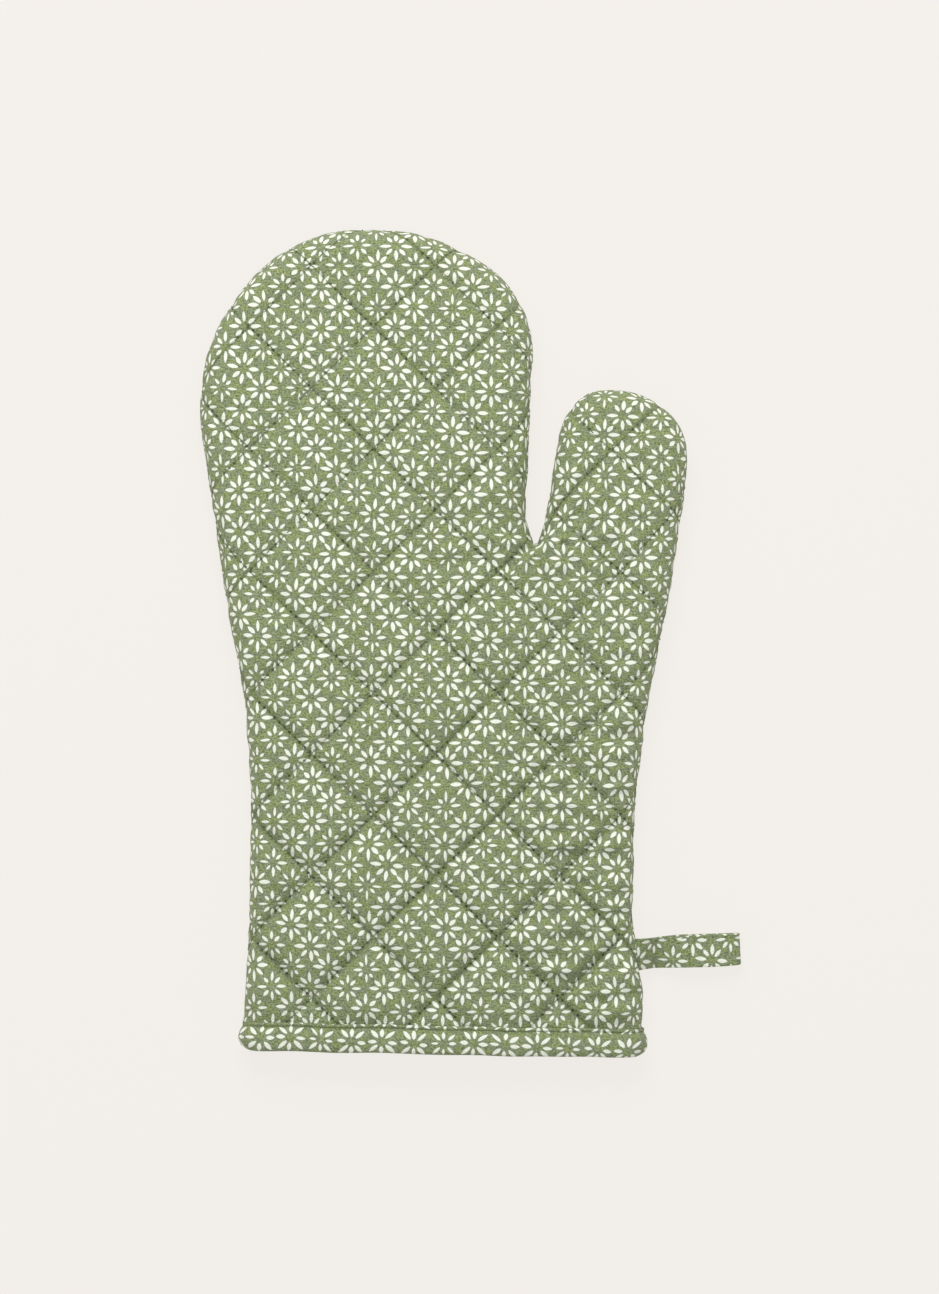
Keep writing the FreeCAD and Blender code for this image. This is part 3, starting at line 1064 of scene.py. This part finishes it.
def make_cover(cap, side, name, material):
    """One printed face. Returns the map from its flat cloth to its surface."""
    points = face_surface(cap, side)
    points = puff(cap, points, side)
    if side < 0:
        points[:, 2] = np.maximum(points[:, 2], 0.25)
    normals = vertex_normals(points, cap.faces, side)
    cloth = flat_cloth(cap)
    inner = points - normals * COVER_THICKNESS
    inner[:, 2] = SEAM_Z + side * np.maximum(side * (inner[:, 2] - SEAM_Z), 0.06)
    lattice = on_lattice(cloth)
    maps = {"print": cloth + PRINT_SHIFT[side], "quilt": lattice - QUILT_CROSSING}
    make_layer(name, cap, points, inner, maps, material, normals, side, "printed_cotton")
    return ClothMap(lattice, points, normals, cap.faces)


def make_wadding(cap, side, name, material):
    """The matted filling between a cover and its lining."""
    pinched = 1.1 * np.exp(-((nearest_line(cap.plan) / 4) ** 2)) + 0.4
    outer = rim_height(cap.depth) - 2.9 - pinched
    bow = palm_bow(cap, side)
    covered = side * (face_surface(cap, side)[:, 2] - SEAM_Z)
    outer = np.maximum(np.minimum(outer + bow, covered - UNDER_COVER), 0.9)
    inner = np.maximum(pocket_height(cap.depth) + 0.75 + bow, LEAST_WADDING)
    inner = np.minimum(inner, outer - LEAST_WADDING)
    top = np.column_stack([cap.plan, SEAM_Z + side * outer])
    under = np.column_stack([cap.plan, SEAM_Z + side * inner])
    normals = vertex_normals(top, cap.faces, side)
    make_layer(name, cap, top, under, {"print": cap.plan}, material, normals, side, "wadding")


def pocket_height(depth):
    """Height of the pocket's wall over the side seam at a depth inside the outline."""
    radius = RIM - POCKET_INSET
    inset = np.clip(depth - POCKET_INSET, 0, radius)
    wall = np.sqrt(radius**2 - (radius - inset) ** 2) + POCKET_HALF - radius
    return np.where(depth < POCKET_INSET, 0, wall)


def make_lining(cap, side, name, material):
    """The pocket's inner face, drawn in a little along the quilting."""
    height = np.maximum(pocket_height(cap.depth), 0.12)
    inside = smooth((cap.depth - POCKET_INSET) / 3)
    height += 0.3 * np.exp(-((nearest_line(cap.plan) / 3) ** 2)) * inside
    height += 0.15 * noise_at(cap.plan, 8.0, 60 + side) * inside
    height += palm_bow(cap, side)
    top = np.column_stack([cap.plan, SEAM_Z + side * height])
    normals = -vertex_normals(top, cap.faces, side)
    under = top - normals * LINING_THICKNESS
    make_layer(name, cap, top, under, {"print": cap.plan}, material, normals, -side, "lining")


def make_seam_stitches(material):
    """The side seam's lockstitch, between the two covers' hems."""
    points, normals = outline_samples(SEAM_PITCH, 0)
    places = []
    for point, inward in zip(points, normals):
        if cuff_rise(point[None])[0] < BINDING_DEPTH:
            continue
        centre = point + inward * SEAM_INSET
        along = np.array((-inward[1], inward[0], 0.0))
        places.append((np.array((*centre, SEAM_Z)), along, np.array((0, 0, 1.0))))
    sew("side_seam_thread", places, *SEAM_STITCH, material)


# ---- the binding ----

# The folded strip's section: how far out from the cover's face, and how far up from the mouth's edge. First
# along the flat faces, then round the two ends, where the strip bulges and its lower corner rounds off.
BINDING_OUTSIDE = ((-1.1, 10.6), (-0.4, 10.85), (0.3, 10.6), (0.3, 10.0), (0.0, 9.65), (-0.4, 9.4),
                   (0.1, 9.05), (0.8, 8.4), (1.35, 7.0), (1.45, 5.0), (1.35, 3.0), (1.0, 1.3), (0.35, 0.3))
BINDING_ENDS = ((0.05, 10.6), (0.25, 10.7), (0.45, 10.5), (0.45, 10.0), (0.3, 9.65), (0.15, 9.4),
                (0.4, 9.1), (0.9, 8.3), (1.6, 6.6), (1.9, 5.0), (1.7, 3.3), (0.8, 1.7), (-0.7, 0.6))
BINDING_INSIDE = ((-1.9, 0.0), (-3.2, -0.15), (-4.6, 0.25), (-5.4, 1.3), (-5.7, 3.5), (-5.75, 6.5),
                  (-5.6, 8.6), (-5.3, 9.35), (-5.6, 10.0), (-5.45, 10.9), (-4.95, 10.9))
BINDING_UNDER = ((-4.85, 6.0), (-4.6, 1.9), (-3.8, 0.8), (-1.6, 0.65), (-0.5, 0.95), (-0.1, 2.2), (0.0, 6.0))
BINDING_STEPS = 260
BINDING_STITCHES = 116
BINDING_STITCH = 5  # the section's point that the stitching runs along
BINDING_FLOWER_RUN = 8.5
BINDING_FLOWER_ALONG = 33.8


def mouth_ring(count):
    """Points round the mitt's section at the cuff, from the middle of the back round and back to it: the
    place along the cuff, the height over the seam, the outward direction in that plane, and the distance
    from the palm's middle."""
    rise = cuff_rise(FINE_POINTS)
    ends = [p for p, r in zip(FINE_POINTS, rise) if abs(r - BINDING_DEPTH / 2) < 0.3]
    places = [float((p - CUFF_MIDDLE) @ CUFF_ALONG) for p in ends]
    half = BODY_HALF - 0.45
    middle = (min(places) + max(places)) / 2
    flat = (max(places) - min(places)) / 2 - half
    bent = math.pi * half
    ring = []
    for k in range(count + 1):
        run = (4 * flat + 2 * bent) * (k / count - 0.5)
        side = math.copysign(1, run)
        far = abs(run)
        turn = min(max((far - flat) / half, 0), math.pi)
        out, up = math.sin(turn), math.cos(turn)
        along = min(far, flat) + half * out - max(far - flat - bent, 0)
        ring.append((middle + side * along, half * up, side * out, up, run))
    return ring


def binding_point(place, spot, end_spot):
    """A point of the binding: place is one entry of the mouth ring, the spots are in the section."""
    along, height, away_x, away_z, run = place
    end = float(smooth((abs(away_x) - 0.1) / 0.8))
    out = spot[0] + (end_spot[0] - spot[0]) * end
    rise = spot[1] + (end_spot[1] - spot[1]) * end
    where = Vector((run / 9.0, rise / 6.0, 7.7))
    if out > 0.2:
        out += 0.22 * noise.noise(where) + 0.15 * noise.noise(where * 2.7)
    if out < -4:
        out += 0.45 * noise.noise(Vector((run / 21.0, 8.1, 0.0)))
    rise += 0.45 * noise.noise(Vector((run / 16.0, 3.3, 0.0)))
    flat = CUFF_MIDDLE + CUFF_ALONG * (along + away_x * out) + CUFF_UP * rise
    height += float(mouth_bow(flat[None])[0]) * max(away_z, 0)
    return np.array((flat[0], flat[1], max(SEAM_Z + height + away_z * out, 0.05)))


def binding_flat(run, down):
    """Where a point of the binding lies on the printed cloth, which is cut slantwise, along the flowers."""
    along = (run + BINDING_FLOWER_ALONG) * 0.92
    across = BINDING_FLOWER_RUN - down
    x, y = turned(along, across, math.atan2(FLOWER_Y, FLOWER_X))
    return x + FLOWER_START[0], y + FLOWER_START[1]


def make_binding(material, thread_material):
    """The bias strip folded over the mouth, and the row of stitching along its upper edge."""
    ring = mouth_ring(BINDING_STEPS)
    section = BINDING_OUTSIDE + BINDING_INSIDE + BINDING_UNDER
    end_section = BINDING_ENDS + BINDING_INSIDE + BINDING_UNDER
    closed = np.array(section + section[:1])
    downs = np.concatenate([[0], np.cumsum(np.hypot(*np.diff(closed, axis=0).T))])
    points = [binding_point(place, *spots) for place in ring[:-1] for spots in zip(section, end_section)]
    faces = tube_faces(BINDING_STEPS, len(section), closed=True)
    flats = []
    for here, there in zip(ring, ring[1:]):
        for j in range(len(section)):
            corners = ((here, j), (here, j + 1), (there, j + 1), (there, j))
            flats += [binding_flat(place[-1], downs[at]) for place, at in corners]
    piece = make_piece("cuff_binding", points, faces, {"print": flats}, material)
    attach(piece, "hand")
    settle(piece, "binding_cotton", "cuff_binding")
    places = []
    row = mouth_ring(BINDING_STITCHES)
    spots = section[BINDING_STITCH], end_section[BINDING_STITCH]
    for place, ahead in zip(row, row[1:]):
        here = binding_point(place, *spots)
        there = binding_point(ahead, *spots)
        away = np.array((CUFF_ALONG[0] * place[2], CUFF_ALONG[1] * place[2], place[3]))
        places.append((here + away * 0.12, there - here, away))
    sewn = stitches("binding_stitching", places, *EDGE_STITCH, thread_material)
    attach(sewn, "hand")
    settle(sewn, "thread", "binding_stitching")


# ---- the hanging loop ----

# The strap's middle line seen from the cuff: x and height, from the tail in the seam round and back.
LOOP_LINE = ((58, 10.9), (61.5, 10.6), (64.8, 9.0), (68.2, 6.7), (73, 6.3), (80, 7.3), (88, 7.8), (96, 7.4),
             (99.6, 6.5), (100.8, 4.2), (99.7, 1.7), (96, 0.95), (89, 0.8), (82, 0.85), (75, 1.8), (69, 4.2),
             (65, 7.0), (61.5, 8.9), (58, 9.1))
LOOP_Y = -116.8
LOOP_ROOT_X = 65.0
LOOP_SLOPE = math.radians(2.6)
LOOP_WIDTH = 12.2
LOOP_TWIST = 0.55
LOOP_LOWEST = 0.08
LOOP_PRINT = (26.7, 4.6)  # where the strap's print starts, back from a flower
LOOP_STITCH_PITCH = 2.9
LOOP_STITCH_ACROSS = 0.86  # of the strap's half width
STRAP_SECTION = ((-1.0, 0.0), (-0.985, 0.75), (-0.9, 1.0), (-0.6, 0.95), (0.0, 0.85), (0.6, 0.95),
                 (0.85, 0.7), (0.93, 1.0), (0.99, 0.8), (1.0, 0.0))
STRAP_HALF = 0.68
STRAP_CREASE = 0.12


def curve_through(points, per_span):
    """A smooth line through the points (Catmull-Rom)."""
    p = np.array([points[0], *points, points[-1]], float)
    line = []
    for i in range(1, len(p) - 2):
        for k in range(per_span):
            t = k / per_span
            a = 2 * p[i]
            b = (p[i + 1] - p[i - 1]) * t
            c = (2 * p[i - 1] - 5 * p[i] + 4 * p[i + 1] - p[i + 2]) * t * t
            d = (3 * p[i] - p[i - 1] - 3 * p[i + 1] + p[i + 2]) * t**3
            line.append((a + b + c + d) / 2)
    line.append(p[-2])
    return np.array(line)


def loop_frame(line, k):
    """The strap's middle point, its direction and its outward normal, in the plane seen from the cuff."""
    ahead = unit(line[min(k + 1, len(line) - 1)] - line[max(k - 1, 0)])
    return line[k], ahead, np.array((-ahead[1], ahead[0]))


def loop_point(at, across):
    """x, y, z of a point of the cuff-side view at a place across the strap, which twists at its root."""
    dx = at[0] - LOOP_ROOT_X
    twist = LOOP_TWIST * math.exp(-(((dx - 3) / 6) ** 2))
    x, y = turned(dx, across, LOOP_SLOPE)
    return np.array((LOOP_ROOT_X + x, LOOP_Y + y, max(at[1] + across * twist, LOOP_LOWEST)))


def make_loop(material, thread_material):
    """The strap, folded back on itself, and the stitching along its open edge."""
    line = curve_through(LOOP_LINE, 6)
    lengths = np.concatenate([[0], np.cumsum(np.linalg.norm(np.diff(line, axis=0), axis=1))])
    section = [*STRAP_SECTION, *((w, -h) for w, h in STRAP_SECTION[-2:0:-1])]
    points = []
    maps = []
    for k, run in enumerate(lengths):
        at, _, normal = loop_frame(line, k)
        narrow = 1 - 0.04 * math.sin(run / 11.0) ** 2
        for w, h in section:
            across = w * LOOP_WIDTH / 2 * narrow
            crease = STRAP_CREASE * noise.noise(Vector((run / 4.0, across / 4.0, h)))
            points.append(loop_point(at + normal * (h * STRAP_HALF + crease), across))
            maps.append((run, across + (0 if h >= 0 else 40)))
    faces = [[f[0], *f[:0:-1]] for f in tube_faces(len(lengths), len(section))]
    maps = np.array(maps) + np.array((FLOWER_START[0] - LOOP_PRINT[0], FLOWER_START[1] - LOOP_PRINT[1]))
    piece = make_piece("hanging_loop", points, faces, {"print": maps}, material)
    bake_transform(piece)
    settle(piece, "binding_cotton", "hanging_loop", "loop_tails")
    places = []
    wanted = 0.0
    for k, run in enumerate(lengths):
        at, ahead, normal = loop_frame(line, k)
        if run < wanted or at[0] < 69 or at[1] < 1.2:
            continue
        wanted = run + LOOP_STITCH_PITCH
        centre = loop_point(at + normal * STRAP_HALF * 0.8, LOOP_STITCH_ACROSS * LOOP_WIDTH / 2)
        run_3d = loop_point(at + ahead, 0) - loop_point(at, 0)
        away = loop_point(at + normal, 0) - loop_point(at, 0)
        places.append((centre, run_3d, unit(away)))
    sewn = stitches("loop_stitching", places, *LOOP_STITCH, thread_material)
    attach(sewn, "loop")
    settle(sewn, "thread", "loop_stitching")


def main():
    make_camera()
    make_stage()
    make_window()
    printed = printed_cotton("printed_cotton", True)
    bias = printed_cotton("binding_cotton", False)
    lining = plain_cotton()
    fibre = wadding_fibre()
    sewing = green_thread()
    fine = Cap(QUILT_SIDE / 24, RIM_DEPTHS, 1.6, HEM_INSET)
    coarse = Cap(QUILT_SIDE / 8, (1.6, 3.2, POCKET_INSET, 6.6, RIM), 1.8, ())
    pocket = Cap(QUILT_SIDE / 12, (POCKET_INSET, 5.4, 6.2, 7.2, RIM), 1.6, ())
    for side, name in ((1, "palm"), (-1, "back")):
        cloth_map = make_cover(fine, side, f"{name}_cover", printed)
        sew(f"{name}_quilting_thread", quilt_stitches(cloth_map, side), *QUILT_STITCH, sewing)
        make_wadding(coarse, side, f"{name}_wadding", fibre)
        make_lining(pocket, side, f"{name}_lining", lining)
    make_seam_stitches(sewing)
    make_binding(bias, sewing)
    make_loop(bias, sewing)


main()
